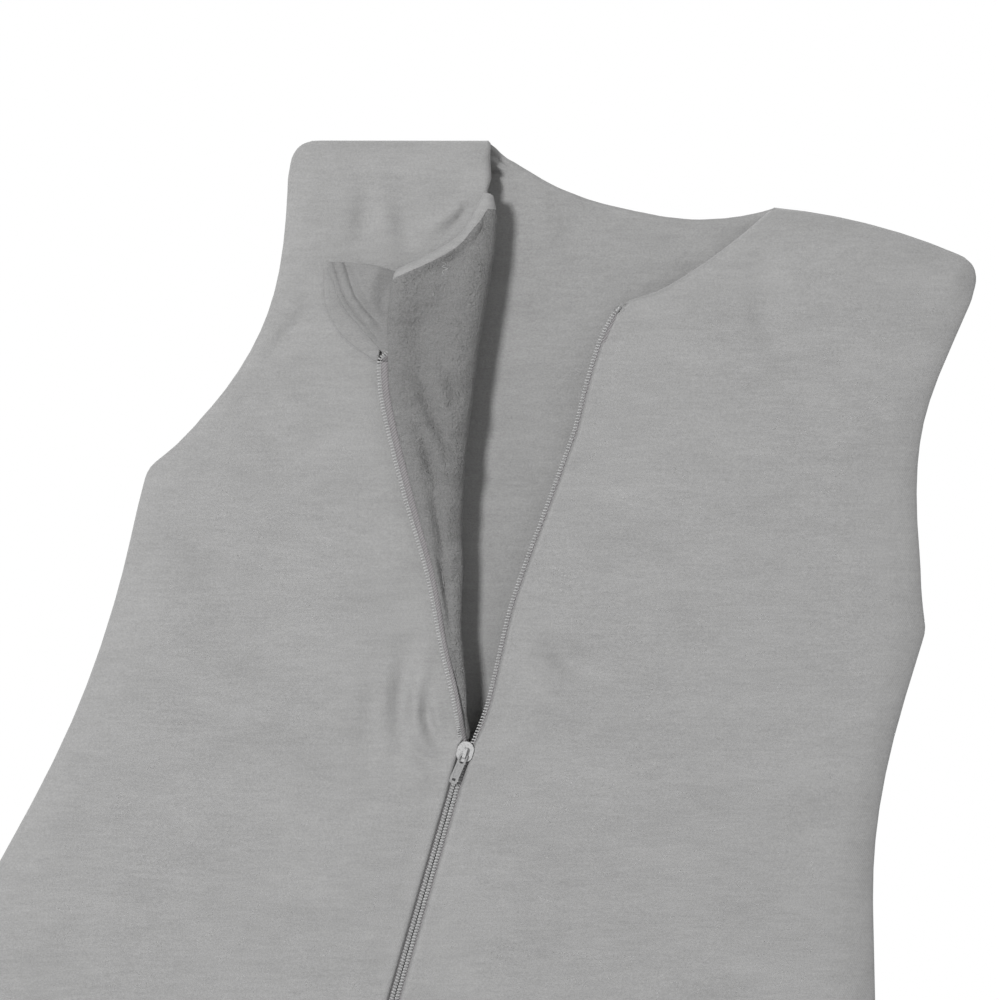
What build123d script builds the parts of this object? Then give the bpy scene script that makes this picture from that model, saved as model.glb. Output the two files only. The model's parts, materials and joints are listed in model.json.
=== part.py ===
"""Baby sleeping bag, lying on its back with its left front folded open.

Frame, in millimetres: +Z is up, +Y runs along the zip towards the neck, +X is to the right as the
bag is looked down on. The origin is the middle of the footprint, on the surface the bag lies on.
The front and the back are each three layers: outer, wadding and lining. Above the slider both front
edges are flaps that hinge on a line from the slider to the neck point. The left flap is folded back.
"""
import os
from math import radians, tan

from build123d import *

os.makedirs("parts", exist_ok=True)

# Cloth layers
CLOTH = 0.8
WADDING = 6.0
CAVITY = 10.0
PANEL = 2 * CLOTH + WADDING
FRONT = PANEL + CAVITY
TOP = FRONT + PANEL

# Outline of the bag as it lies: right and left differ a little, because the cloth is soft
HALF_LENGTH = 450.0
HALF_WIDTH = 245.0
WIDEST_Y = -300.0
HEM_HALF = 140.0
HEM_CURVE_X = 215.0
HEM_CURVE_Y = -395.0
NECK_LEFT = (-60.0, 439.5)
NECK_RIGHT = (61.0, 445.5)
CORNER_LEFT = (-137.0, 417.5)
CORNER_RIGHT = (149.0, 446.5)
ARMPIT_LEFT = (-157.0, 272.0)
ARMPIT_RIGHT = (168.0, 296.0)
SHOULDER_RIGHT_MID = (92.0, 449.4)
ARMHOLE_LEFT = [(-128.5, 382.0), (-125.6, 349.0), (-131.5, 318.0)]
ARMHOLE_RIGHT = [(144.6, 412.0), (142.2, 378.0), (149.5, 342.0)]
SIDE_LEFT = [(-155.5, 235.0), (-157.5, 170.0), (-170.5, 101.0), (-212.0, -70.0)]
SIDE_RIGHT = [(167.5, 260.0), (173.4, 200.0), (189.0, 147.0), (224.0, -10.0)]
BACK_NECK = [(-31.0, 429.8), (5.0, 428.4), (33.0, 432.6)]
FRONT_NECK = [(-49.0, 424.0), (-27.0, 400.5), (0.0, 387.0), (27.0, 400.5), (49.0, 426.5)]
CORNER_RADIUS = 9.0
ARMPIT_RADIUS = 12.0
SEAM = 7.6

# Zip
SLIDER_Y = 196.0
ZIP_END = -350.0
ZIP_Z = TOP - 3.0
CHANNEL_HALF = 4.0
COIL_GAP = 0.1
COIL_WIDTH = 1.8
COIL_HEIGHT = 2.1
TAPE_IN = COIL_GAP + COIL_WIDTH
TAPE_OUT = 12.0
TAPE = 0.5
SPREAD = tan(radians(2.2))
MOUTH = 26.0
FLAP_ZIP_TOP = 186.0
STOP_LENGTH = 3.0
STOP_HEIGHT = 2.4
STOP_GAP = 0.2

# Fold lines of the flaps
FOLD_START = 3.0
FOLD_ANGLE = 13.2
FOLD_SLOPE = tan(radians(FOLD_ANGLE))
FOLD_GAP = 0.3
FOLD_Z = TOP + 1.4
BEYOND = 300.0

# Slider and pull tab
SLIDER_WIDTH = 6.7
SLIDER_LENGTH = 8.6
SLIDER_HEIGHT = 4.8
PLATE = 0.9
FLANGE = 0.7
SLOT = 1.1
WEDGE = 1.4
CROWN_WIDTH = 1.3
CROWN_LOW = -2.7
CROWN_HIGH = 1.9
CROWN_BAR = 0.7
CROWN_RISE = 2.7
PIN = 0.8
PIN_Y = 0.5
TAB_LENGTH = 13.0
TAB_WIDTH = 3.4
TAB_THICK = 0.9
TAB_RIM = 0.7
TAB_HOLE = 3.5
TAB_HOLE_WIDTH = 2.2
TAB_SLOT = (1.5, 1.1)
TAB_SLOT_AT = 1.7
TAB_PANEL = (1.9, 5.0)
TAB_PANEL_AT = 7.6
TAB_TURN = 7.0
TAB_BAR_Y = -1.15
TAB_Z = TOP + 0.55

# Chin guard and care label
GUARD_LAYER = 0.8
GUARD_SPLIT = 0.2
GUARD_LOW = 161.0
GUARD_HIGH = 192.0
GUARD_TIP = (23.0, 203.0)
GUARD_BULGE = (17.0, 178.0)
LABEL = (30.0, 45.0, 0.5)
LABEL_AT = (-218.0, -250.0)

LAYERS = {"lining": (0.0, CLOTH), "wadding": (CLOTH, WADDING), "outer": (CLOTH + WADDING, CLOTH)}
SIDES = {"left": -1, "right": 1}
FOLD_AXES = {
    name: Axis((sign * FOLD_START, SLIDER_Y, FOLD_Z), (sign * FOLD_SLOPE, 1, 0))
    for name, sign in SIDES.items()
}


def save(part, name):
    """Label one finished piece and write it to its own file."""
    part.label = name
    export_step(part, f"parts/{name}.step")


def spread(rise):
    """How far a zip half stands off the centre line, a height above the slider."""
    return SPREAD * max(rise, 0.0)


def folded_back(part, side):
    """A flap's piece turned over its fold line, from shut to lying open."""
    return part.rotate(FOLD_AXES[side], 180)


def face(*points):
    """A flat polygon."""
    with BuildSketch() as sketch:
        with BuildLine():
            Polyline(*points, close=True)
        make_face()
    return sketch.sketch


def sides_and_hem(inset):
    """The outline from the right armpit down round the hem to the left armpit, moved inward."""
    wide = HALF_WIDTH - inset
    hem = -HALF_LENGTH + inset
    right = [(x - inset, y) for x, y in [ARMPIT_RIGHT, *SIDE_RIGHT]]
    left = [(x + inset, y) for x, y in [*reversed(SIDE_LEFT), ARMPIT_LEFT]]
    Spline(*right, (wide, WIDEST_Y), tangents=[(0, -1), (0, -1)])
    Bezier((wide, WIDEST_Y), (wide, HEM_CURVE_Y), (HEM_CURVE_X - inset, hem), (HEM_HALF, hem))
    Line((HEM_HALF, hem), (-HEM_HALF, hem))
    Bezier((-HEM_HALF, hem), (inset - HEM_CURVE_X, hem), (-wide, HEM_CURVE_Y), (-wide, WIDEST_Y))
    Spline((-wide, WIDEST_Y), *left, tangents=[(0, 1), (0, 1)])


def trunk(inset):
    """The bag with its sides and hem moved inward, and squared off above the armpits."""
    with BuildSketch() as sketch:
        with BuildLine():
            sides_and_hem(inset)
            left = ARMPIT_LEFT[0] + inset
            right = ARMPIT_RIGHT[0] - inset
            Polyline(
                (left, ARMPIT_LEFT[1]),
                (left, HALF_LENGTH),
                (right, HALF_LENGTH),
                (right, ARMPIT_RIGHT[1]),
            )
        make_face()
    return sketch.sketch


def bag_outline(neckline):
    """The whole bag seen from above, with the neckline that is given from left to right."""
    with BuildSketch() as sketch:
        with BuildLine():
            Spline(NECK_LEFT, *neckline, NECK_RIGHT)
            Spline(NECK_RIGHT, SHOULDER_RIGHT_MID, CORNER_RIGHT)
            Spline(CORNER_RIGHT, *ARMHOLE_RIGHT, ARMPIT_RIGHT)
            sides_and_hem(0)
            Spline(ARMPIT_LEFT, *reversed(ARMHOLE_LEFT), CORNER_LEFT)
            Line(CORNER_LEFT, NECK_LEFT)
        make_face()
        for corner in (CORNER_LEFT, CORNER_RIGHT):
            fillet(sketch.vertices().sort_by_distance((*corner, 0))[0], CORNER_RADIUS)
        for armpit in (ARMPIT_LEFT, ARMPIT_RIGHT):
            fillet(sketch.vertices().sort_by_distance((*armpit, 0))[0], ARMPIT_RADIUS)
    return sketch.sketch


def channel():
    """The gap between the two front edges, in which the zip lies."""
    top = CHANNEL_HALF + spread(BEYOND)
    return face(
        (-CHANNEL_HALF, ZIP_END),
        (CHANNEL_HALF, ZIP_END),
        (CHANNEL_HALF, SLIDER_Y),
        (top, SLIDER_Y + BEYOND),
        (-top, SLIDER_Y + BEYOND),
        (-CHANNEL_HALF, SLIDER_Y),
    )


def flap_zone(sign, gap, inner):
    """The part of a front between its fold line and a line that is inner off the zip's centre."""
    low = SLIDER_Y + MOUTH + gap
    high = SLIDER_Y + BEYOND
    fold_low = FOLD_START + FOLD_SLOPE * (MOUTH + gap) - gap
    fold_high = FOLD_START + FOLD_SLOPE * BEYOND - gap
    return face(
        (sign * fold_low, low),
        (sign * fold_high, high),
        (sign * (inner + spread(BEYOND)), high),
        (sign * (inner + spread(MOUTH)), low),
    )


def half_plane(sign):
    """Everything on one side of the zip's centre line."""
    with BuildSketch() as sketch:
        with Locations((sign * HALF_WIDTH, 0)):
            Rectangle(2 * HALF_WIDTH, 3 * HALF_LENGTH)
    return sketch.sketch


def strip(start, end, width):
    """A straight strip that lies inside the line from start to end."""
    edge = Vector(*end) - Vector(*start)
    inward = Vector(-edge.Y, edge.X).normalized() * width
    return face(start, end, Vector(*end) + inward, Vector(*start) + inward)


def slab(shape, bottom, thickness):
    """One flat layer."""
    with BuildPart() as layer:
        with BuildSketch(Plane.XY.offset(bottom)):
            add(shape)
        extrude(amount=thickness)
    return layer.part


back_outline = bag_outline(BACK_NECK)
front_outline = bag_outline(FRONT_NECK)


# Zip tapes: below the slider and its mouth on the bag, above it on the flaps
def tape_shape(sign):
    """The lower tape, straight to the slider and leaning out above it."""
    reach = spread(MOUTH)
    return face(
        (sign * TAPE_IN, ZIP_END),
        (sign * TAPE_OUT, ZIP_END),
        (sign * TAPE_OUT, SLIDER_Y),
        (sign * (TAPE_OUT + reach), SLIDER_Y + MOUTH),
        (sign * (TAPE_IN + reach), SLIDER_Y + MOUTH),
        (sign * TAPE_IN, SLIDER_Y),
    )


def flap_strip(sign, inner, outer, low, high):
    """A strip along the upper zip half, between two distances from the centre line."""
    return face(
        (sign * (inner + spread(low)), SLIDER_Y + low),
        (sign * (outer + spread(low)), SLIDER_Y + low),
        (sign * (outer + spread(high)), SLIDER_Y + high),
        (sign * (inner + spread(high)), SLIDER_Y + high),
    )


tapes = {}
flap_tapes = {}
for side, sign in SIDES.items():
    tapes[side] = slab(tape_shape(sign), ZIP_Z - TAPE / 2, TAPE)
    upper = flap_strip(sign, TAPE_IN, TAPE_OUT, MOUTH + FOLD_GAP, FLAP_ZIP_TOP)
    with BuildPart() as flap_tape:
        add(slab(upper, ZIP_Z - TAPE / 2, TAPE))
        add(slab(flap_zone(sign, FOLD_GAP, 0), ZIP_Z - TAPE / 2, TAPE), mode=Mode.INTERSECT)
    flap_tapes[side] = flap_tape.part
    save(tapes[side], f"zip_tape_{side}")

# Back: three flat layers, outer lowest
for name, (low, thickness) in LAYERS.items():
    with BuildPart() as back_layer:
        add(slab(back_outline, PANEL - low - thickness, thickness))
    save(back_layer.part, f"back_{name}")

# Fronts and flaps: three layers each, lining lowest while the flap is shut
for side, sign in SIDES.items():
    for name, (low, thickness) in LAYERS.items():
        with BuildPart() as front_layer:
            add(slab(front_outline, FRONT + low, thickness))
            add(slab(half_plane(sign), FRONT + low, thickness), mode=Mode.INTERSECT)
            add(slab(channel(), FRONT + low, thickness), mode=Mode.SUBTRACT)
            add(slab(flap_zone(sign, -FOLD_GAP, 0), FRONT + low, thickness), mode=Mode.SUBTRACT)
            if name == "wadding":
                add(tapes[side], mode=Mode.SUBTRACT)
        save(front_layer.part, f"{side}_front_{name}")

        with BuildPart() as flap_layer:
            add(slab(front_outline, FRONT + low, thickness))
            zone = flap_zone(sign, FOLD_GAP, CHANNEL_HALF)
            add(slab(zone, FRONT + low, thickness), mode=Mode.INTERSECT)
            if name == "wadding":
                add(flap_tapes[side], mode=Mode.SUBTRACT)
        flap = flap_layer.part
        if side == "left":
            flap = folded_back(flap, side)
        save(flap, f"{side}_flap_{name}")


# Seams: each fills the space between front and back where the two are sewn together
def edge_seam(left, right, low, high):
    """The seam along the part of the outline that lies in a rectangle."""
    window = face((left, low), (right, low), (right, high), (left, high))
    with BuildPart() as seam:
        add(slab(trunk(0), PANEL, CAVITY))
        add(slab(trunk(SEAM), PANEL, CAVITY), mode=Mode.SUBTRACT)
        add(slab(window, PANEL, CAVITY), mode=Mode.INTERSECT)
    return seam.part


side_top_left = ARMPIT_LEFT[1] - ARMPIT_RADIUS
side_top_right = ARMPIT_RIGHT[1] - ARMPIT_RADIUS
save(edge_seam(-2 * HALF_WIDTH, 0, WIDEST_Y, side_top_left), "side_seam_left")
save(edge_seam(0, 2 * HALF_WIDTH, WIDEST_Y, side_top_right), "side_seam_right")
save(edge_seam(-2 * HALF_WIDTH, 2 * HALF_WIDTH, -HALF_LENGTH - SEAM, WIDEST_Y), "hem_seam")

with BuildPart() as shoulder_seam_left:
    add(slab(strip(CORNER_LEFT, NECK_LEFT, -SEAM), PANEL, CAVITY))
    add(slab(front_outline, PANEL, CAVITY), mode=Mode.INTERSECT)
    add(slab(back_outline, PANEL, CAVITY), mode=Mode.INTERSECT)
save(shoulder_seam_left.part, "shoulder_seam_left")

with BuildPart() as shoulder_seam_right:
    add(slab(strip(NECK_RIGHT, CORNER_RIGHT, -SEAM), PANEL, CAVITY))
    add(slab(front_outline, PANEL, CAVITY), mode=Mode.INTERSECT)
    add(slab(back_outline, PANEL, CAVITY), mode=Mode.INTERSECT)
save(shoulder_seam_right.part, "shoulder_seam_right")

# Coils: a shut length below the slider, a short length in its mouth, and the open length on a flap
for side, sign in SIDES.items():
    low = ZIP_END + STOP_LENGTH + 2 * STOP_GAP
    high = SLIDER_Y - SLIDER_LENGTH / 4
    with BuildPart() as zip_coil:
        with Locations((sign * (COIL_GAP + COIL_WIDTH / 2), (low + high) / 2, ZIP_Z)):
            Box(COIL_WIDTH, high - low, COIL_HEIGHT)
        mouth_strip = flap_strip(sign, COIL_GAP, TAPE_IN, SLIDER_LENGTH / 2 + STOP_GAP, MOUTH)
        add(slab(mouth_strip, ZIP_Z - COIL_HEIGHT / 2, COIL_HEIGHT))
        fillet(zip_coil.edges().filter_by(Axis.Y), COIL_WIDTH / 4)
    save(zip_coil.part, f"zip_coil_{side}")

    open_low = MOUTH + FOLD_GAP
    open_high = FLAP_ZIP_TOP - STOP_LENGTH - STOP_GAP
    open_strip = flap_strip(sign, COIL_GAP, TAPE_IN, open_low, open_high)
    flap_coil = slab(open_strip, ZIP_Z - COIL_HEIGHT / 2, COIL_HEIGHT)
    stop_low = FLAP_ZIP_TOP - STOP_LENGTH
    stop_shape = flap_strip(sign, COIL_GAP, TAPE_IN, stop_low, FLAP_ZIP_TOP)
    top_stop = slab(stop_shape, ZIP_Z - STOP_HEIGHT / 2, STOP_HEIGHT)
    flap_tape_piece = flap_tapes[side]
    if side == "left":
        flap_coil = folded_back(flap_coil, side)
        top_stop = folded_back(top_stop, side)
        flap_tape_piece = folded_back(flap_tape_piece, side)
    save(flap_coil, f"flap_coil_{side}")
    save(top_stop, f"top_stop_{side}")
    save(flap_tape_piece, f"flap_tape_{side}")

with BuildPart() as bottom_stop:
    with Locations((0, ZIP_END + STOP_GAP + STOP_LENGTH / 2, ZIP_Z)):
        Box(2 * TAPE_IN, STOP_LENGTH, STOP_HEIGHT)
    fillet(bottom_stop.edges().filter_by(Axis.Y), STOP_HEIGHT / 4)
save(bottom_stop.part, "bottom_stop")

# Slider body: two plates with turned-in flanges, joined by a wedge between the two coils
with BuildPart() as slider_body:
    with BuildSketch(Plane.XY.offset(ZIP_Z - SLIDER_HEIGHT / 2)):
        with Locations((0, SLIDER_Y)):
            SlotCenterToCenter(SLIDER_LENGTH - SLIDER_WIDTH, SLIDER_WIDTH, rotation=90)
    extrude(amount=SLIDER_HEIGHT)
    with Locations((0, SLIDER_Y, ZIP_Z)):
        Box(SLIDER_WIDTH - 2 * FLANGE, 2 * SLIDER_LENGTH, SLIDER_HEIGHT - 2 * PLATE, mode=Mode.SUBTRACT)
        Box(2 * SLIDER_WIDTH, 2 * SLIDER_LENGTH, SLOT, mode=Mode.SUBTRACT)
    with BuildSketch(Plane.XY.offset(ZIP_Z - SLIDER_HEIGHT / 2)):
        with Locations((0, SLIDER_Y + SLIDER_LENGTH / 4)):
            SlotCenterToCenter(WEDGE, WEDGE, rotation=90)
    extrude(amount=SLIDER_HEIGHT)
save(slider_body.part, "slider_body")

# Crown: the arch over the top plate that carries the pull tab
plate_top = ZIP_Z + SLIDER_HEIGHT / 2
with BuildPart() as slider_crown:
    with BuildSketch(Plane.YZ.offset(-CROWN_WIDTH / 2)):
        with BuildLine():
            Polyline(
                (SLIDER_Y + CROWN_LOW, plate_top),
                (SLIDER_Y + CROWN_LOW, plate_top + CROWN_RISE),
                (SLIDER_Y + CROWN_HIGH, plate_top + CROWN_RISE),
                (SLIDER_Y + CROWN_HIGH, plate_top),
                close=True,
            )
        make_face()
    extrude(amount=CROWN_WIDTH)
    fillet(slider_crown.edges().filter_by(Axis.X).group_by(Axis.Z)[-1], CROWN_BAR)
    under = CROWN_RISE - CROWN_BAR
    with Locations((0, SLIDER_Y + (CROWN_LOW + CROWN_HIGH) / 2, plate_top + under / 2)):
        Box(2 * CROWN_WIDTH, CROWN_HIGH - CROWN_LOW - 2 * CROWN_BAR, under, mode=Mode.SUBTRACT)
save(slider_crown.part, "slider_crown")

# Lock pin: the small spring tongue under the crown
with BuildPart() as slider_lock_pin:
    with Locations((0, SLIDER_Y + PIN_Y, plate_top + PIN / 4)):
        Box(PIN, PIN, PIN / 2)
save(slider_lock_pin.part, "slider_lock_pin")

# Pull tab: a plate with an oval hole round the crown, a sunk panel and a slot near its end
tab_frame = Plane(
    origin=(0, SLIDER_Y + TAB_BAR_Y, TAB_Z),
    x_dir=Vector(1, 0, 0).rotate(Axis.Z, -TAB_TURN),
    z_dir=(0, 0, 1),
)
with BuildPart() as pull_tab:
    with BuildSketch(tab_frame.offset(-TAB_THICK / 2)):
        with Locations((0, TAB_RIM / 2 - TAB_LENGTH / 2)):
            RectangleRounded(TAB_WIDTH, TAB_LENGTH, TAB_WIDTH / 4)
    extrude(amount=TAB_THICK)
    with BuildSketch(tab_frame.offset(-TAB_THICK / 2)):
        with Locations((0, -(TAB_RIM + TAB_HOLE) / 2)):
            SlotCenterToCenter(TAB_HOLE - TAB_HOLE_WIDTH, TAB_HOLE_WIDTH, rotation=90)
        with Locations((0, TAB_RIM / 2 - TAB_LENGTH + TAB_SLOT_AT)):
            Rectangle(*TAB_SLOT)
    extrude(amount=TAB_THICK, mode=Mode.SUBTRACT)
    with BuildSketch(tab_frame.offset(TAB_THICK / 2)):
        with Locations((0, TAB_RIM / 2 - TAB_PANEL_AT)):
            RectangleRounded(*TAB_PANEL, TAB_PANEL[0] / 6)
    extrude(amount=-TAB_THICK / 4, mode=Mode.SUBTRACT)
save(pull_tab.part, "pull_tab")


# Chin guard: two layers that reach across the zip's top, here turned back with the left flap
def guard_shape():
    """The guard seen from above with the flap shut: straight along the zip and the top, curved below."""
    root_low = (-spread(GUARD_LOW) + STOP_GAP, SLIDER_Y + GUARD_LOW)
    root_high = (-spread(GUARD_HIGH) + STOP_GAP, SLIDER_Y + GUARD_HIGH)
    tip = (GUARD_TIP[0], SLIDER_Y + GUARD_TIP[1])
    bulge = (GUARD_BULGE[0], SLIDER_Y + GUARD_BULGE[1])
    with BuildSketch() as sketch:
        with BuildLine():
            Line(root_low, root_high)
            Line(root_high, tip)
            Spline(tip, bulge, root_low)
        make_face()
    return sketch.sketch


guard_levels = {
    "outer": FOLD_Z + GUARD_SPLIT,
    "lining": FOLD_Z - GUARD_SPLIT - GUARD_LAYER,
}
for name, level in guard_levels.items():
    save(folded_back(slab(guard_shape(), level, GUARD_LAYER), "left"), f"chin_guard_{name}")

# Care label: a blank tape loop sewn into the left side seam, lying on the back lining
with BuildPart() as care_label:
    with Locations((*LABEL_AT, PANEL + FOLD_GAP + LABEL[2] / 2)):
        Box(*LABEL)
save(care_label.part, "care_label")
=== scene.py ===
"""Looks of the baby sleeping bag: padded jersey panels, a folded flap, a coil zip and its slider.

Lengths in this script are millimetres in the row frame, and MM turns them into metres at the end.
Heights above the slider, along the zip, are called rises.
"""

import json
import math
from types import SimpleNamespace

import bpy
import numpy as np
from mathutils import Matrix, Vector, noise
from mathutils.bvhtree import BVHTree


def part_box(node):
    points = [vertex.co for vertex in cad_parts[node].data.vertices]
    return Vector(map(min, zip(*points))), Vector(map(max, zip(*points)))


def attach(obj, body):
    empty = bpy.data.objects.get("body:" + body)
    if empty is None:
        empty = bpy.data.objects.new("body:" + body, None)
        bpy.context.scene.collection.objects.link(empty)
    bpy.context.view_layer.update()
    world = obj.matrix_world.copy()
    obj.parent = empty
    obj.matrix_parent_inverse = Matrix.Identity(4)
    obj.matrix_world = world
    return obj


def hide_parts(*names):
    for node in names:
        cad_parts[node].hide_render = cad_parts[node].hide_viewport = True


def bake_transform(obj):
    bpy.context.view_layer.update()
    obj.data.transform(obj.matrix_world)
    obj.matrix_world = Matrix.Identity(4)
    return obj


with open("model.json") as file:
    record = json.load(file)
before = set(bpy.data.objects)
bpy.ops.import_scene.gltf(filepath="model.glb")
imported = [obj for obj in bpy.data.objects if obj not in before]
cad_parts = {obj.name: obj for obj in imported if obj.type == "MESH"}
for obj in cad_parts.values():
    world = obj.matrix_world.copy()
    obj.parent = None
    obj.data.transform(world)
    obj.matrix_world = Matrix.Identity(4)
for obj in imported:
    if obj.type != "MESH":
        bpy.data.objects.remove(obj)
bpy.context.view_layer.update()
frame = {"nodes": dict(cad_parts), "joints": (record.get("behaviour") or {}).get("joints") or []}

MM = 0.001
SEED = 7
CHUNK = 4000

# ---- places read from the frame


def node_box(node):
    """Lowest and highest corner of a CAD node, in millimetres."""
    low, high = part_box(node)
    return np.array(low) / MM, np.array(high) / MM


def joint(name):
    """A joint of the record, with its point in millimetres."""
    found = next(j for j in frame["joints"] if j["name"] == name)
    return np.array(found["pos_m"]) / MM, np.array(found["axis"])


FOLD_POINT, FOLD_AXIS = joint("left_flap_fold")
SLIDER_Y = FOLD_POINT[1]
FOLD_Z = FOLD_POINT[2]
FOLD_SLOPE = abs(FOLD_AXIS[0] / FOLD_AXIS[1])
BACK_TOP = node_box("back_lining")[1][2]
FRONT_LOW = node_box("right_front_lining")[0][2]
FRONT_TOP = node_box("right_front_outer")[1][2]
SEAM_Z = (BACK_TOP + FRONT_LOW) / 2
ZIP_Z = float(node_box("zip_coil_left")[0][2] + node_box("zip_coil_left")[1][2]) / 2
FLAP_ZIP_Z = 2 * FOLD_Z - ZIP_Z
ZIP_LOW = node_box("zip_tape_left")[0][1]
HEM_Y = node_box("back_outer")[0][1]

# ---- curves and grids


def curve_through(points, count):
    """A smooth line through a few points, as count evenly spaced ones."""
    p = np.array(points, float)
    ends = np.vstack([2 * p[0] - p[1], p, 2 * p[-1] - p[-2]])
    fine = []
    for a, b, c, d in zip(ends, ends[1:], ends[2:], ends[3:]):
        for t in np.linspace(0, 1, 24, endpoint=False):
            fine.append(
                b + 0.5 * t * (c - a + t * (2 * a - 5 * b + 4 * c - d + t * (3 * (b - c) + d - a)))
            )
    return along(np.array([*fine, p[-1]]), np.linspace(0, 1, count))


def lengths(points):
    """Distance along a line at each of its points."""
    return np.concatenate([[0], np.cumsum(np.linalg.norm(np.diff(points, axis=0), axis=1))])


def along(points, shares):
    """Points at the given shares of a line's length."""
    s = lengths(points)
    at = np.asarray(shares) * s[-1]
    return np.stack([np.interp(at, s, points[:, i]) for i in range(points.shape[1])], -1)


def at_heights(points, heights):
    """The points of a rising line at the given y values."""
    order = np.argsort(points[:, 1])
    p = points[order]
    return np.stack([np.interp(heights, p[:, 1], p[:, 0]), heights], -1)


def graded(start, end, step, first=None, last=None, growth=0.22):
    """Values from start to end whose spacing grows from first and shrinks to last."""
    length = abs(end - start)
    values, s = [0.0], 0.0
    while s < length:
        near_start = (first or step) + growth * s
        near_end = (last or step) + growth * max(length - s, 0) * 0.8
        s += min(step, near_start, near_end)
        values.append(s)
    return start + (end - start) * np.array(values) / values[-1]


def smooth(x, low, high):
    """0 below low, 1 above high and an even rise between them."""
    t = np.clip((np.asarray(x, float) - low) / (high - low), 0, 1)
    return t * t * (3 - 2 * t)


def dome(distance, reach):
    """0 at an edge, rising like a quarter circle to 1 at reach."""
    t = 1 - np.clip(np.asarray(distance) / reach, 0, 1)
    return np.sqrt(1 - t * t)


def puff(distance, start, end):
    """A rounded band, 1 in the middle between two distances and 0 outside them."""
    return np.sqrt(np.clip(1 - ((2 * distance - start - end) / (end - start)) ** 2, 0, 1))


def distance_to(points, line):
    """Distance from each point to a polyline, seen from above."""
    a, b = line[:-1, :2], line[1:, :2]
    edge = b - a
    size = np.maximum((edge**2).sum(1), 1e-9)
    nearest = np.full(len(points), 1e9)
    for start in range(0, len(points), CHUNK):
        p = points[start : start + CHUNK, None, :2]
        t = np.clip(((p - a) * edge).sum(2) / size, 0, 1)
        gap = np.linalg.norm(p - a - t[..., None] * edge, axis=2)
        nearest[start : start + CHUNK] = gap.min(1)
    return nearest


def patch(left, right, bottom, top):
    """A grid of plan points filling four lines: rows upward, columns left to right."""
    v = lengths(left) / lengths(left)[-1] * 0.5 + lengths(right) / lengths(right)[-1] * 0.5
    u = lengths(bottom) / lengths(bottom)[-1] * 0.5 + lengths(top) / lengths(top)[-1] * 0.5
    u, v = u[None, :, None], v[:, None, None]
    grid = (1 - u) * left[:, None] + u * right[:, None] + (1 - v) * bottom[None] + v * top[None]
    grid -= (1 - u) * (1 - v) * bottom[0] + u * (1 - v) * bottom[-1]
    grid -= (1 - u) * v * top[0] + u * v * top[-1]
    return grid


def border(faces):
    """Directed edges that only one face of a mesh has."""
    sides = set()
    for f in faces:
        sides.update(zip(f, [*f[1:], f[0]]))
    return [(a, b) for a, b in sides if (b, a) not in sides]


def outline(node):
    """The outline of a flat CAD layer seen from above, anticlockwise."""
    mesh = frame["nodes"][node].data
    mesh.calc_loop_triangles()
    co = np.array([v.co for v in mesh.vertices]) / MM
    keys = [tuple(np.round(p[:2], 2)) for p in co]
    top = co[:, 2].max() - 0.01
    corners = [triangle.vertices for triangle in mesh.loop_triangles]
    following = dict(border([[keys[i] for i in ids] for ids in corners if all(co[i][2] > top for i in ids)]))
    loop = [min(following)]
    while len(loop) < len(following):
        loop.append(following[loop[-1]])
    return np.array(loop)


def stretch(loop, start, end):
    """The part of an anticlockwise outline from the point nearest start to the one nearest end."""
    i = int(np.argmin(np.linalg.norm(loop - np.array(start), axis=1)))
    j = int(np.argmin(np.linalg.norm(loop - np.array(end), axis=1)))
    if j <= i:
        j += len(loop)
    return loop[np.arange(i, j + 1) % len(loop)]


BACK_LOOP = outline("back_outer")
NECK_POINTS = {-1: np.array([-60.0, 439.5]), 1: np.array([61.0, 445.5])}
SHOULDER_TIPS = {-1: np.array([-137.0, 417.5]), 1: np.array([149.0, 446.5])}
HEM_CORNERS = {-1: np.array([-222.0, -404.0]), 1: np.array([222.0, -404.0])}
ARMPITS = {-1: np.array([-157.0, 272.0]), 1: np.array([168.0, 296.0])}


def edge_line(sign, start, end):
    """The outline between two points, on the right (sign 1) or mirrored on the left (sign -1)."""
    return stretch(BACK_LOOP, start, end) if sign > 0 else stretch(BACK_LOOP, end, start)[::-1]


def outer_line(sign):
    """The side and armhole edge, from the hem's corner up to the tip of the shoulder."""
    return edge_line(sign, HEM_CORNERS[sign], SHOULDER_TIPS[sign])


def shoulder_line(sign):
    """The shoulder edge, from its tip to the neck point."""
    return edge_line(sign, SHOULDER_TIPS[sign], NECK_POINTS[sign])


def hem_line(sign):
    """The hem edge, from its corner to the middle."""
    line = edge_line(-sign, HEM_CORNERS[sign], np.array([sign * 140.0, HEM_Y]))
    return np.vstack([line, [0.0, HEM_Y]])


# ---- soft relief of the cloth


def ripple(x, y, scale, seed, stretch_y=1.0):
    """Smooth noise between about -1 and 1."""
    return np.array(
        [
            noise.noise(Vector((a / scale, b / (scale * stretch_y), seed)))
            for a, b in zip(np.ravel(x), np.ravel(y))
        ]
    ).reshape(np.shape(x))


CREASE_DEPTH = 2.1


def creases(points, lines):
    """Heights of soft folds: each is (depth, width, points of its line), strongest in its middle."""
    total = np.zeros(len(points))
    for depth, width, line in lines:
        path = curve_through(line, 16)
        path = path + np.array([0, SLIDER_Y])
        near = distance_to(points, path)
        ends = np.minimum(
            np.linalg.norm(points[:, :2] - path[0], axis=1),
            np.linalg.norm(points[:, :2] - path[-1], axis=1),
        )
        fade = smooth(ends, 0, 0.35 * lengths(path)[-1] + width) * 0.75 + 0.25
        total += CREASE_DEPTH * depth * np.exp(-((near / width) ** 2)) * fade
    return total


# ---- meshes


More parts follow.
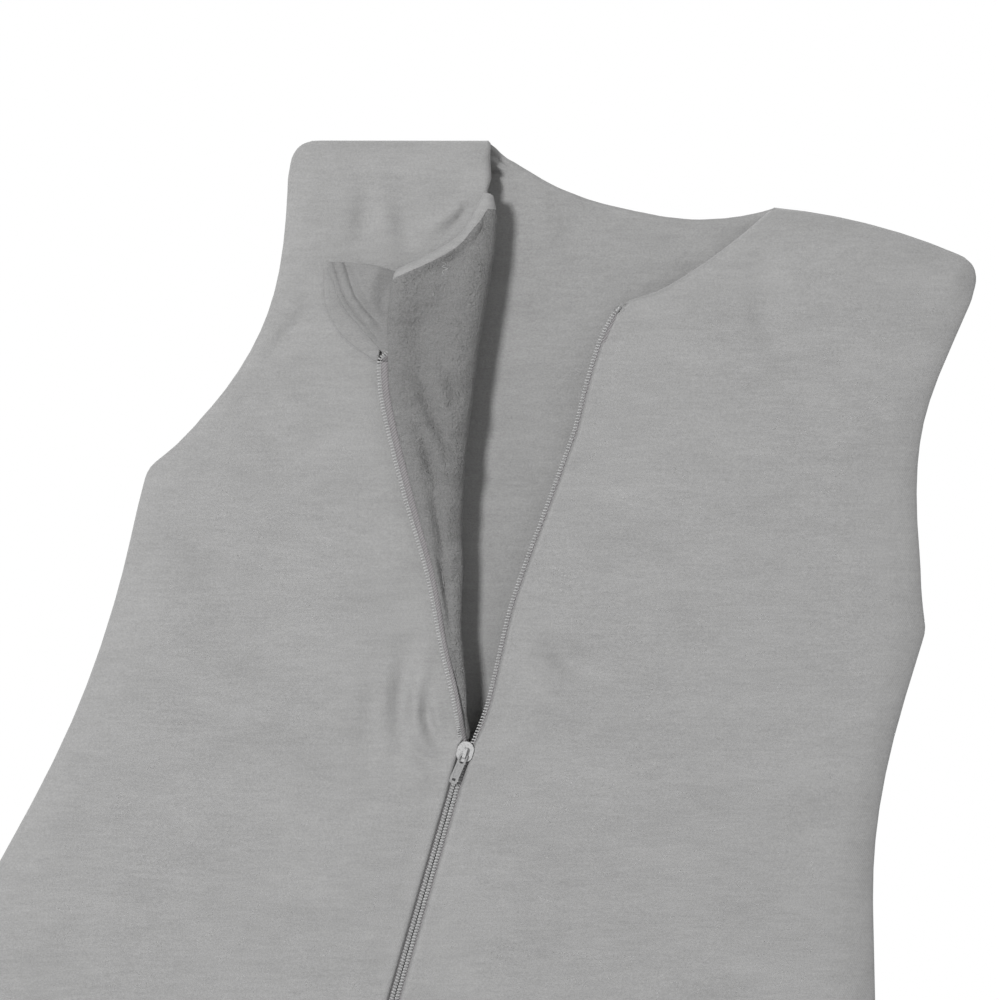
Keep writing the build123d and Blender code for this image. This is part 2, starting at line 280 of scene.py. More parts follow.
def new_object(name, co_mm, faces, materials, face_material=None, flat=False):
    """A mesh object from millimetre points and faces."""
    mesh = bpy.data.meshes.new(name)
    mesh.from_pydata((np.asarray(co_mm, float) * MM).tolist(), [], [list(map(int, f)) for f in faces])
    for material in materials:
        mesh.materials.append(material)
    if face_material is not None:
        mesh.polygons.foreach_set("material_index", np.asarray(face_material, np.int32))
    mesh.polygons.foreach_set("use_smooth", [not flat] * len(mesh.polygons))
    mesh.validate()
    mesh.update()
    made = bpy.data.objects.new(name, mesh)
    bpy.context.scene.collection.objects.link(made)
    return made


def vertex_normals(points, faces):
    """Area-weighted normals of a mesh of quads and triangles."""
    normals = np.zeros_like(points)
    for size in (3, 4):
        group = np.array([f for f in faces if len(f) == size], int)
        if len(group) == 0:
            continue
        corners = points[group]
        if size == 3:
            cross = np.cross(corners[:, 1] - corners[:, 0], corners[:, 2] - corners[:, 0])
        else:
            cross = np.cross(corners[:, 2] - corners[:, 0], corners[:, 3] - corners[:, 1])
        for column in range(size):
            np.add.at(normals, group[:, column], cross)
    return normals / np.maximum(np.linalg.norm(normals, axis=1), 1e-9)[:, None]


def closed_sheet(points, faces, up, down):
    """A closed solid from a middle surface and its two outer surfaces, joined round the border."""
    count = len(points)
    rim = border(faces)
    rim_ids = {v: i for i, v in enumerate(sorted({a for a, _ in rim} | {b for _, b in rim}))}
    rim_list = sorted(rim_ids, key=rim_ids.get)
    centre = (up[rim_list] + down[rim_list]) / 2
    outward = np.zeros((len(rim_list), 3))
    for a, b in rim:
        edge = points[b] - points[a]
        side = np.cross(edge, up[a] - down[a])
        outward[rim_ids[a]] += side
        outward[rim_ids[b]] += side
    outward /= np.maximum(np.linalg.norm(outward, axis=1), 1e-9)[:, None]
    thick = np.linalg.norm(up[rim_list] - down[rim_list], axis=1) / 2
    middle = centre + outward * thick[:, None] * 0.8
    co = np.vstack([up, down, middle])
    made = [list(f) for f in faces]
    made += [[v + count for v in reversed(f)] for f in faces]
    kinds = [0] * len(faces) + [1] * len(faces)
    for a, b in rim:
        ma, mb = 2 * count + rim_ids[a], 2 * count + rim_ids[b]
        made += [[b, a, ma, mb], [mb, ma, a + count, b + count]]
        kinds += [0, 0]
    return co, made, kinds


def grid_faces(ids):
    """Quads, or triangles where corners coincide, over a table of vertex numbers."""
    faces = []
    for row, above in zip(ids, ids[1:]):
        for a, b, c, d in zip(row, row[1:], above[1:], above):
            face = [v for i, v in enumerate((a, b, c, d)) if v not in (a, b, c, d)[:i]]
            if len(face) > 2:
                faces.append([int(v) for v in face])
    return faces


# ---- materials


def node_tree(name):
    material = bpy.data.materials.new(name)
    material.use_nodes = True
    tree = material.node_tree
    return material, tree, tree.nodes["Principled BSDF"]


def dress(node, **values):
    """Sets a shader node's properties and sockets by name."""
    for key, value in values.items():
        if hasattr(node, key):
            setattr(node, key, value)
        else:
            node.inputs[key.replace("_", " ")].default_value = value
    return node


def add(tree, kind, **values):
    """A new shader node, with its properties and sockets set by name."""
    return dress(tree.nodes.new(kind), **values)


def mapped(tree, scale, turn=0.0):
    """Object coordinates turned about Z, then scaled."""
    place = add(tree, "ShaderNodeTexCoord")
    turned = add(tree, "ShaderNodeMapping", Rotation=(0, 0, math.radians(turn)))
    scaled = add(tree, "ShaderNodeMapping", Scale=scale)
    tree.links.new(place.outputs["Object"], turned.inputs["Vector"])
    tree.links.new(turned.outputs["Vector"], scaled.inputs["Vector"])
    return scaled.outputs["Vector"]


def noise_node(tree, vector, scale, detail, rough=0.5):
    made = add(tree, "ShaderNodeTexNoise", Scale=scale, Detail=detail, Roughness=rough)
    tree.links.new(vector, made.inputs["Vector"])
    return made.outputs["Fac"]


def ramp_node(tree, factor, stops):
    made = tree.nodes.new("ShaderNodeValToRGB")
    ramp = made.color_ramp
    for i, (place, colour) in enumerate(stops):
        element = ramp.elements[i] if i < 2 else ramp.elements.new(place)
        element.position = place
        element.color = (*colour, 1)
    tree.links.new(factor, made.inputs["Fac"])
    return made.outputs["Color"]


def maths(tree, operation, a, b):
    made = tree.nodes.new("ShaderNodeMath")
    made.operation = operation
    for socket, value in zip(made.inputs, (a, b)):
        if isinstance(value, (int, float)):
            socket.default_value = value
        else:
            tree.links.new(value, socket)
    return made.outputs["Value"]


def bump(tree, height, strength, distance, under=None):
    made = add(tree, "ShaderNodeBump", Strength=strength, Distance=distance)
    tree.links.new(height, made.inputs["Height"])
    if under is not None:
        tree.links.new(under, made.inputs["Normal"])
    return made.outputs["Normal"]


def textured(tree, shader, factor, stops, strength, distance):
    """Takes a shader's colour and relief from one factor."""
    tree.links.new(ramp_node(tree, factor, stops), shader.inputs["Base Color"])
    tree.links.new(bump(tree, factor, strength, distance), shader.inputs["Normal"])


def grey(value, warm=0.0):
    return (value * (1 + warm), value, value * (1 - warm))


COURSES = -16.0
WALES = -46.0
WARMTH = 0.004


def jersey(name, value, nap, wale_strength):
    """Melange knit: diagonal wales, course streaks, flecks and a soft nap."""
    material, tree, shader = node_tree(name)
    streaks = noise_node(tree, mapped(tree, (90, 650, 200), COURSES), 1.0, 4.0, 0.7)
    clouds = noise_node(tree, mapped(tree, (30, 75, 30), COURSES), 1.0, 4.0, 0.6)
    flecks = noise_node(tree, mapped(tree, (1100, 1700, 1100), COURSES), 1.0, 3.0, 0.7)
    mix = maths(tree, "ADD", maths(tree, "MULTIPLY", streaks, 0.25), maths(tree, "MULTIPLY", clouds, 0.2))
    mix = maths(tree, "ADD", mix, maths(tree, "MULTIPLY", flecks, 0.55))
    spread = 0.17 + 0.03 * max(nap - 1, 0)
    dark, light = grey(value * (1 - spread), WARMTH), grey(value * (1 + spread), WARMTH)
    colour = ramp_node(tree, mix, [(0.36, dark), (0.64, light)])
    tree.links.new(colour, shader.inputs["Base Color"])
    wales = add(tree, "ShaderNodeTexWave", Scale=1.0, Distortion=1.2, Detail=1.0, bands_direction="X")
    tree.links.new(mapped(tree, (430, 430, 430), WALES), wales.inputs["Vector"])
    fuzz = noise_node(tree, mapped(tree, (1100, 1100, 1100)), 1.0, 3.0, 0.65)
    lumps = noise_node(tree, mapped(tree, (130, 130, 130)), 1.0, 4.0, 0.6)
    depth = max(nap, 1.0)
    normal = bump(tree, lumps, min(0.6 * nap, 1.0), 0.0014 * depth**0.5)
    normal = bump(tree, fuzz, min(0.6 * nap, 1.0), 0.00045 * depth, normal)
    normal = bump(tree, wales.outputs["Fac"], wale_strength, 0.00022, normal)
    tree.links.new(normal, shader.inputs["Normal"])
    dress(
        shader, Roughness=0.95, Specular_IOR_Level=0.12, Sheen_Weight=0.25,
        Sheen_Roughness=0.6, Sheen_Tint=(1, 1, 1, 1),
    )
    return material


def tape_cloth(name, value):
    """Woven twill zip tape: slanted ribs."""
    material, tree, shader = node_tree(name)
    ribs = add(tree, "ShaderNodeTexWave", Scale=1.0, Distortion=0.6, Detail=1.0)
    tree.links.new(mapped(tree, (330, 330, 330), 30), ribs.inputs["Vector"])
    warp = noise_node(tree, mapped(tree, (1600, 300, 900)), 1.0, 2.0)
    mix = maths(tree, "MULTIPLY", ribs.outputs["Fac"], 0.55)
    mix = maths(tree, "ADD", mix, maths(tree, "MULTIPLY", warp, 0.45))
    dark = (value * 0.72, value * 0.68, value * 0.7)
    light = (value * 1.22, value * 1.18, value * 1.2)
    textured(tree, shader, mix, [(0.15, dark), (0.85, light)], 0.8, 0.0003)
    dress(shader, Roughness=0.85, Sheen_Weight=0.15)
    return material


def nylon(name, value):
    """Drawn nylon of the coil: slightly glossy, faintly mottled."""
    material, tree, shader = node_tree(name)
    mottle = noise_node(tree, mapped(tree, (700, 700, 700)), 1.0, 2.0)
    textured(tree, shader, mottle, [(0.3, grey(value * 0.88)), (0.7, grey(value * 1.1))], 0.15, 0.0001)
    dress(shader, Roughness=0.42)
    return material


def lacquer(name, value, gloss):
    """Pale lacquered metal, speckled where the grey shows through."""
    material, tree, shader = node_tree(name)
    speckle = noise_node(tree, mapped(tree, (1500, 1500, 1500)), 1.0, 3.0, 0.7)
    textured(tree, shader, speckle, [(0.34, grey(value * 0.62)), (0.5, grey(value))], 0.35, 0.00012)
    dress(shader, Roughness=gloss, Metallic=0.15, Coat_Weight=0.3)
    return material


def satin(name, value):
    """Woven label ribbon with fine cross ribs."""
    material, tree, shader = node_tree(name)
    ribs = add(tree, "ShaderNodeTexWave", Scale=1.0, Distortion=0.2, bands_direction="Y")
    tree.links.new(mapped(tree, (450, 450, 450)), ribs.inputs["Vector"])
    stops = [(0.0, grey(value * 0.93, 0.01)), (1.0, grey(value, 0.01))]
    textured(tree, shader, ribs.outputs["Fac"], stops, 0.3, 0.0001)
    dress(shader, Roughness=0.45, Sheen_Weight=0.2)
    return material


OUTER = jersey("jersey_outer", 0.345, 0.45, 0.2)
LINING = jersey("jersey_brushed_lining", 0.33, 0.9, 0.1)
# the turned-out flap lining is a darker copy of the brushed lining: painted shade where the flap tilts away
# from the light
TURNED_LINING_PAINTED_SHADE = jersey("jersey_lining_painted_shade", 0.243, 3.0, 0.04)
# the chin guard's two layers are darker copies of the lining and outer jersey: painted shade on the guard
GUARD_PAINTED_SHADE = jersey("jersey_guard_painted_shade", 0.27, 0.9, 0.1)
GUARD_BACK_PAINTED_SHADE = jersey("jersey_guard_back_painted_shade", 0.31, 0.5, 0.15)
THREAD = nylon("thread", 0.5)
TAPE_CLOTH = tape_cloth("zip_twill", 0.27)
COIL = nylon("zip_nylon", 0.42)
# the darker core under the shut coil is partly the tape's grey and partly painted shade between the teeth
COIL_CORE_PAINTED_SHADE = nylon("zip_nylon_core_painted_shade", 0.2)
PAINT = lacquer("slider_lacquer", 0.47, 0.45)
# the pull tab's lacquer is a darker copy of the slider's: painted shade on the tab
TAB_LACQUER_PAINTED_SHADE = lacquer("pull_tab_lacquer_painted_shade", 0.3, 0.5)
METAL = lacquer("zip_metal_bright", 0.34, 0.3)
SATIN = satin("label_satin_white", 0.8)

# ---- the opening as it lies, in rises above the slider

FOLD_EDGE = [
    (0.3, 4), (-4.5, 18), (-8.1, 29), (-16.9, 53.3), (-20.6, 70), (-25.6, 86), (-31.7, 111),
    (-36.9, 141.7), (-40.6, 166.5), (-44, 194.5), (-47.4, 213), (-51.5, 222),
]
OPEN_ZIP_LEFT = [
    (-1.6, 0), (-2.8, 4), (-11.2, 21.5), (-21.5, 40), (-34.7, 66), (-51.6, 93), (-68.4, 122),
    (-76.0, 139), (-80.3, 158), (-81.2, 180),
]
FLAP_NECK_LEFT = [(-57.0, 211.0), (-60.0, 202.2), (-68.4, 192.6), (-80.7, 181.6)]
NECK_LEFT_END = [(-51.5, 222), (-56.9, 232.8), (-60, 243.5)]
OPEN_ZIP_RIGHT = [
    (1.6, 0), (2.0, 4), (3.4, 21), (2.4, 43), (1.6, 62), (2.6, 83), (4.3, 104), (5.9, 126),
    (6.8, 140), (6.2, 158), (6.6, 176), (8.6, 188), (11, 193.4),
]
NECK_RIGHT_LINE = [(61, 249.5), (48.9, 231.1), (37, 216), (26.6, 204.7), (18, 198.5), (11, 193.4)]
LIP = 3.4


def risen(points):
    """Points given above the slider, in the row frame."""
    return np.array(points, float) + np.array([0, SLIDER_Y])


def moved_sideways(line, distance):
    """A line moved to its right by a distance that may vary along it."""
    run = np.gradient(line[:, :2], axis=0)
    run /= np.maximum(np.linalg.norm(run, axis=1), 1e-9)[:, None]
    moved = line.copy()
    moved[:, :2] += np.stack([run[:, 1], -run[:, 0]], -1) * np.asarray(distance)[..., None]
    return moved


# ---- front panels

# sizes of the cloth's cells, the heights that the fold bends between and the padding's half thickness
STEP = 4.0
FINE = 1.1
BODY_TOP = 25.05
FLAP_UNDER = 28.12
ROLL_ANGLES = (-64, -40, -12, 12, 40, 64)
HALF = 3.55
PIPED_ROWS = 2
ACROSS = np.array([math.cos(math.atan(FOLD_SLOPE)), math.sin(math.atan(FOLD_SLOPE))])

# each crease is (depth, width, points above the slider)
FRONT_CREASES = {
    -1: [
        (-2.3, 4.4, [(-34, 36), (-32, 16), (-28, 0), (-24, -10)]),
        (1.2, 3.2, [(-27, 30), (-23, 8), (-13, -6)]),
        (-2.2, 2.6, [(-23, 20), (-18.4, 8), (-13, 2.5), (-7, 1)]),
        (-1.5, 2.2, [(-23, -4.3), (-14.3, -7.8), (-8, -8.5)]),
        (1.0, 2.8, [(-20, -14), (-10, -15)]),
        (0.9, 3.0, [(-17, 16), (-12, 8), (-8, 5)]),
        (-1.1, 4.5, [(-44, 22), (-42, 4), (-36, -14)]),
        (-1.6, 5.0, [(-92, 215), (-84, 202), (-76, 188)]),
        (-1.8, 2.0, [(-70, 200), (-61.4, 211), (-55, 221)]),
        (1.0, 3.4, [(-71, 203), (-64, 212), (-58, 222)]),
        (-1.5, 4.5, [(-104, 214), (-100, 200), (-98, 186)]),
        (-1.2, 4.0, [(-112, 160), (-116, 146), (-128, 130)]),
        (-1.0, 8.0, [(-140, 60), (-110, 30), (-80, 22)]),
        (-0.9, 9.0, [(-120, -20), (-80, -30), (-40, -24)]),
        (-1.0, 7.0, [(-150, 120), (-120, 110), (-100, 90)]),
    ],
    1: [
        (-1.8, 5.0, [(16, 60), (30, 48), (52, 44)]),
        (1.6, 5.0, [(10, 40), (28, 30), (50, 26)]),
        (-0.8, 8.0, [(12, 110), (50, 96), (110, 100)]),
        (-1.0, 7.0, [(60, 235), (70, 205), (92, 180)]),
        (-0.8, 9.0, [(150, 60), (120, 40), (90, 36)]),
        (-0.7, 9.0, [(12, -40), (50, -50), (100, -44)]),
    ],
}
FLAP_CREASES = [
    (-2.4, 2.6, [(-62, 146), (-56, 136.4), (-47.8, 126), (-36, 114)]),
    (1.5, 2.8, [(-57, 150), (-48, 137), (-38, 124)]),
    (-2.0, 2.2, [(-46, 143), (-41, 137), (-37, 131)]),
    (-2.3, 2.5, [(-55, 122), (-47, 112), (-37, 100), (-31, 90)]),
    (1.5, 2.6, [(-48, 122), (-40, 108), (-33, 97)]),
    (-2.1, 2.4, [(-46, 106), (-38, 92), (-30, 76), (-26, 64)]),
    (1.4, 2.4, [(-38, 100), (-31, 84), (-26, 72)]),
    (-1.8, 2.2, [(-34, 78), (-27, 62), (-21, 48)]),
    (-1.5, 5.0, [(-66, 178), (-64, 160), (-60, 148)]),
    (1.0, 5.0, [(-52, 196), (-52, 176), (-50, 156)]),
    (-1.6, 2.6, [(-70, 184), (-60, 192), (-55, 203)]),
]


def tape_shown(rises, folded):
    """Width of tape seen between an open coil and its flap's edge."""
    if folded:
        return 1.4 + 3.2 * smooth(rises, 8, 80) - 4.0 * smooth(rises, 143, 182)
    return 1.8 + 0.5 * smooth(rises, 0, 12)


def front_plan(sign, folded):
    """One front seen from above: its rows, its inner line up to the neck and its flap's edges."""
    fold_top = 222.0 if folded else 249.5
    low_rows = graded(HEM_Y - SLIDER_Y, 0, STEP, first=FINE, last=1.5, growth=0.05)
    high_rows = graded(24, fold_top, 2.6, last=None if folded else FINE)
    rises = np.concatenate([low_rows, graded(0, 24, 2.0)[1:], high_rows[1:]])
    start, last = int(np.argmin(abs(rises))), len(rises) - 1
    if folded:
        rises = np.concatenate([rises, graded(fold_top, 243.5, 2.4, last=FINE)[1:]])
    span = slice(start, last + 1)
    lip = 0.12 + (LIP - 0.12) * smooth(SLIDER_Y + rises, ZIP_LOW - 8, ZIP_LOW + 2)
    inner = np.stack([sign * lip, SLIDER_Y + rises], -1)
    line = curve_through(risen(OPEN_ZIP_LEFT if folded else OPEN_ZIP_RIGHT), 400)
    shown = tape_shown(rises, folded)
    roll_half = 1.1 + (HALF - 1.1) * smooth(rises, 4, 64)
    bend = np.zeros(len(rises))
    if folded:
        apex = at_heights(curve_through(risen(FOLD_EDGE), 300), inner[span, 1])
        room = apex[:, 0] - at_heights(line, inner[span, 1])[:, 0] - shown[span]
        room = np.pad(room, (start, len(rises) - last - 1), mode="edge")
        roll_half = roll_half * (1 - 0.62 * smooth(rises, 196, 221))
        reach = np.minimum((2 * roll_half + 0.8) * smooth(rises, 0, 12), 0.42 * np.maximum(room, 1.0))
        roll_half = np.minimum(roll_half, np.maximum(0.46 * reach, 0.7))
        bend = np.maximum(reach - roll_half, 0.2) * smooth(rises, 0, 12)
        wave = 0.5 * ripple(apex[:, 0] * 0, apex[:, 1], 13, SEED + 17) * smooth(rises[span], 30, 60)
        apex = apex + ACROSS * (wave - reach[span])[:, None]
        inner[span] += (apex - inner[span]) * smooth(rises[span], 0, 10)[:, None]
        tail = at_heights(curve_through(risen(NECK_LEFT_END), 100), inner[last + 1 :, 1])
        joined = smooth(rises[last + 1 :], fold_top, fold_top + 9)[:, None]
        inner[last + 1 :] = tail - ACROSS * reach[last] * (1 - joined)
    else:
        hinge = LIP + FOLD_SLOPE * rises + 6 * smooth(rises, 0, 30) * (1 - smooth(rises, 140, 245))
        inner[start:, 0] = sign * hinge[start:]

    # the zip's line, with a point for each row of the flap
    first = inner[span]
    base = np.array([0, SLIDER_Y])
    way = np.array([-ACROSS[1], ACROSS[0]]) if folded else np.array([0.0, 1.0])
    fold_run, zip_run = (first - base) @ way, np.maximum.accumulate((line - base) @ way)
    edge_run = fold_run - (fold_run[-1] - zip_run[-1]) * (fold_run / fold_run[-1]) ** 3
    coil = np.stack([np.interp(edge_run, zip_run, line[:, i]) for i in (0, 1)], -1)
    if folded:
        top = curve_through([first[-1], *risen(FLAP_NECK_LEFT)], 60)
    else:
        top = curve_through(risen(NECK_RIGHT_LINE), 60)
    free_edge = moved_sideways(coil, tape_shown(coil[:, 1] - SLIDER_Y, folded))
    top[0], top[-1] = first[-1], free_edge[-1]
    lip = np.vstack([[sign * 0.12, HEM_Y], inner[: start + 1]])
    return SimpleNamespace(
        sign=sign, rises=rises, start=start, last=last, span=span, inner=inner, first=first,
        roll_half=roll_half, bend=bend, lift=smooth(rises, 0, 20), coil=coil, free_edge=free_edge,
        top=top, shoulder=shoulder_line(sign), outer=outer_line(sign), hem=hem_line(sign),
        zip_edge=lip if folded else np.vstack([lip, free_edge]), neck_edge=inner[last:] if folded else top,
    )


def body_grid(plan):
    """Plan points of a front without its flap: rows upward, columns from the side to the inner line."""
    width = 168.0
    shares = graded(0, width, STEP * 0.9, first=FINE, last=FINE, growth=0.06) / width
    rises = plan.rises
    heights = np.interp(rises, [rises[0], rises[-1]], [plan.hem[0][1], plan.shoulder[0][1]])
    bottom = along(np.vstack([plan.hem[:-1], plan.zip_edge[0]]), shares)
    top = along(np.vstack([plan.shoulder[:-1], plan.inner[-1]]), shares)
    return patch(at_heights(plan.outer, heights), plan.inner, bottom, top)


def flap_grid(plan):
    """Plan points of a flap: rows upward, columns from the fold to the zip."""
    shares = np.concatenate([[0], graded(0, 40, 3.0, first=1.4, last=0.8)[1:] / 40])
    flap = plan.first[:, None] * (1 - shares[:, None]) + plan.free_edge[:, None] * shares[:, None]
    rises = plan.rises[plan.span]
    bowed = along(plan.top, shares) - flap[-1]
    return flap + (rises / rises[-1])[:, None, None] ** 5 * bowed


def lie_flat(points, plan):
    """Half thickness, middle height and relief of a front's flat cloth at plan points."""
    shape, flat, sign = points.shape[:2], points.reshape(-1, 2), plan.sign
    sewn = distance_to(flat, np.vstack([plan.shoulder[::-1], plan.outer[::-1], plan.hem]))
    slack = smooth(flat[:, 1], ARMPITS[sign][1] + 4, ARMPITS[sign][1] + 30)
    slack *= smooth(distance_to(flat, plan.shoulder), 2, 14)
    near_zip, near_neck = distance_to(flat, plan.zip_edge), distance_to(flat, plan.neck_edge)
    edge_half = 0.9 + slack * 1.4
    half = edge_half + (HALF - edge_half) * dome(sewn, 13)
    lip = 1 - smooth(near_zip, 0, 9)
    half = 1.3 + (half - 1.3) * (1 - lip) * dome(near_neck, 7.0)
    edge_z, level = SEAM_Z + 0.9 + slack * 4.2, FRONT_TOP - HALF - 1.3
    mid = edge_z + (level - edge_z + lip * (ZIP_Z + 0.35 - level)) * dome(sewn, 20 - 8 * slack)
    mid += 0.6 * ripple(flat[:, 0], flat[:, 1], 42, SEED + sign, 1.6) * smooth(sewn, 0, 8)
    relief = creases(flat, FRONT_CREASES[sign])
    relief += 0.3 * ripple(flat[:, 0], flat[:, 1], 14, SEED + 3 * sign)
    relief += 0.8 * ripple(flat[:, 0], flat[:, 1], 7.5, SEED + 5) * np.exp(-sewn / 9)
    relief *= smooth(sewn, 0, 8)
    return half.reshape(shape), mid.reshape(shape), relief.reshape(shape)


def folded_flap(plan, body_half, body_mid):
    """The roll of the fold and the flap lying on the front: points, half thicknesses and relief."""
    span, lift = plan.span, plan.lift[plan.span][:, None]
    rises = plan.rises[span][:, None]
    flap = flap_grid(plan)
    shape, flat = flap.shape[:2], flap.reshape(-1, 2)
    near_top = distance_to(flat, plan.top).reshape(shape)
    free = np.minimum(distance_to(flat, plan.free_edge).reshape(shape) * 1.6, near_top)
    toward = 1 - smooth(np.linalg.norm(flap - plan.first[:, None], axis=2), 0, 10)
    half = 1.5 + (HALF * 0.92 - 1.5) * dome(free, 8.0)
    half += (plan.roll_half[span][:, None] - half) * toward
    half = np.minimum(half, 1.15 + (HALF - 1.15) * smooth(rises, 4, 64))
    low = body_mid[span, -1][:, None]
    mid = low + (FLAP_UNDER + half - low) * lift
    mid += 0.5 * (1 + ripple(flap[..., 0], flap[..., 1], 22, SEED + 11, 2.0)) * smooth(rises, 12, 50)
    mid = np.maximum(mid, np.where(lift > 0.99, FLAP_UNDER + half, FLAP_UNDER * lift))
    wave = creases(flat, FLAP_CREASES).reshape(shape)
    wave += 0.45 * ripple(flap[..., 0], flap[..., 1], 9, SEED + 12, 1.8)
    wave *= smooth(rises, 12, 50) * smooth(free, 0, 3)
    band = 1.2 + 4.0 * smooth(rises, 176, 208)
    wave += 1.0 * puff(near_top, 0, band) * smooth(rises, 168, 186)
    below, above = body_mid[span, -1], mid[:, 0]
    points, halves = [], []
    for angle in ROLL_ANGLES:
        a = math.radians(angle)
        share = (math.sin(a) + 1) / 2
        place = plan.first + ACROSS * (plan.bend[span] * math.cos(a))[:, None]
        points.append(np.concatenate([place, (below + (above - below) * share)[:, None]], -1))
        halves.append(body_half[span, -1] * (1 - share) + half[:, 0] * share)
    points = np.concatenate([np.stack(points, 1), np.concatenate([flap, mid[..., None]], -1)], 1)
    relief = np.concatenate([np.outer(wave[:, 0], np.linspace(0, 1, len(ROLL_ANGLES))), wave], 1)
    return points, np.concatenate([np.stack(halves, 1), half], 1), relief


def front_panel(name, sign, folded):
    """One front with its flap as one padded sheet."""
    plan = front_plan(sign, folded)
    body = body_grid(plan)
    half, mid, relief = lie_flat(body, plan)
    if folded:
        gap = np.linalg.norm(body - plan.inner[:, None], axis=2)
        top_rise = plan.rises[plan.last]
        toward = (1 - smooth(gap, 0, 12)) * (1 - smooth(plan.rises, top_rise, top_rise + 12))[:, None]
        toward[: plan.start] = 0
        share = toward * smooth(plan.rises, 0, 16)[:, None]
        roll_half = plan.roll_half[:, None]
        half = half + (roll_half - half) * share
        mid = mid + (BODY_TOP - roll_half - mid) * share
        mid = np.minimum(mid, BODY_TOP - half)
        relief = relief * (1 - toward)
        sheet, sheet_half, sheet_relief = folded_flap(plan, half, mid)
    else:
        flap = flap_grid(plan)[:, 1:]
        sheet_half, flap_mid, sheet_relief = lie_flat(flap, plan)
        sheet = np.concatenate([flap, flap_mid[..., None]], -1)

    # one table of vertex numbers for the body and one for the flap, which share the fold line
    rows, cols = body.shape[:2]
    ids = np.arange(rows * cols).reshape(rows, cols)
    extra = sheet.shape[1]
    table = rows * cols + np.arange((len(sheet) - 1) * extra).reshape(-1, extra)
    table = np.vstack([np.full((1, extra), ids[plan.start, -1]), table])
    table = np.hstack([ids[plan.span, -1][:, None], table])
    points = np.vstack([np.concatenate([body, mid[..., None]], -1).reshape(-1, 3), sheet[1:].reshape(-1, 3)])
    halves = np.concatenate([half.ravel(), sheet_half[1:].ravel()])
    body_faces, flap_faces = grid_faces(ids), grid_faces(table)
    faces = body_faces + flap_faces
    if sign > 0:
        faces = [f[::-1] for f in faces]
    offset = vertex_normals(points, faces) * halves[:, None]
    up, down = points + offset, points - offset
    body_size = rows * cols
    up[:body_size, 2] += relief.ravel()
    (down if folded else up)[body_size:, 2] += sheet_relief[1:].ravel()
    if folded:
        # nothing of the sheet ends inside the fold's ramp, apart from the roll's outermost points
        lifted = table[plan.lift[plan.span] > 0.97]
        low, high = lifted[:, :4].ravel(), lifted[:, 4:].ravel()
        up[:body_size, 2] = np.minimum(up[:body_size, 2], BODY_TOP)
        up[low, 2] = np.minimum(up[low, 2], BODY_TOP)
        up[high, 2] = np.maximum(up[high, 2], FLAP_UNDER)
        down[low, 2] = np.minimum(down[low, 2], BODY_TOP - 0.15)
        down[high, 2] = np.maximum(down[high, 2], FLAP_UNDER + 0.15)
    co, made, kinds = closed_sheet(points, faces, up, down)
    if folded:
        # the turned-out flap faces get the darker lining copy, which paints shade on the flap
        turned = len(faces) + len(body_faces)
        piped = 2 * len(faces) - PIPED_ROWS * (table.shape[1] - 1)
        kinds[turned:piped] = [2] * (piped - turned)
        kinds[piped : 2 * len(faces)] = [0] * (2 * len(faces) - piped)
    return new_object(name, co, made, [OUTER, LINING, TURNED_LINING_PAINTED_SHADE], kinds)


left_front = front_panel("left_front", -1, True)
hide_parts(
    "left_front_outer", "left_front_wadding", "left_front_lining",
    "left_flap_outer", "left_flap_wadding", "left_flap_lining",
)
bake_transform(left_front)

right_front = front_panel("right_front", 1, False)
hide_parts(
    "right_front_outer", "right_front_wadding", "right_front_lining",
    "right_flap_outer", "right_flap_wadding", "right_flap_lining",
)
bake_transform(right_front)

# ---- back panel


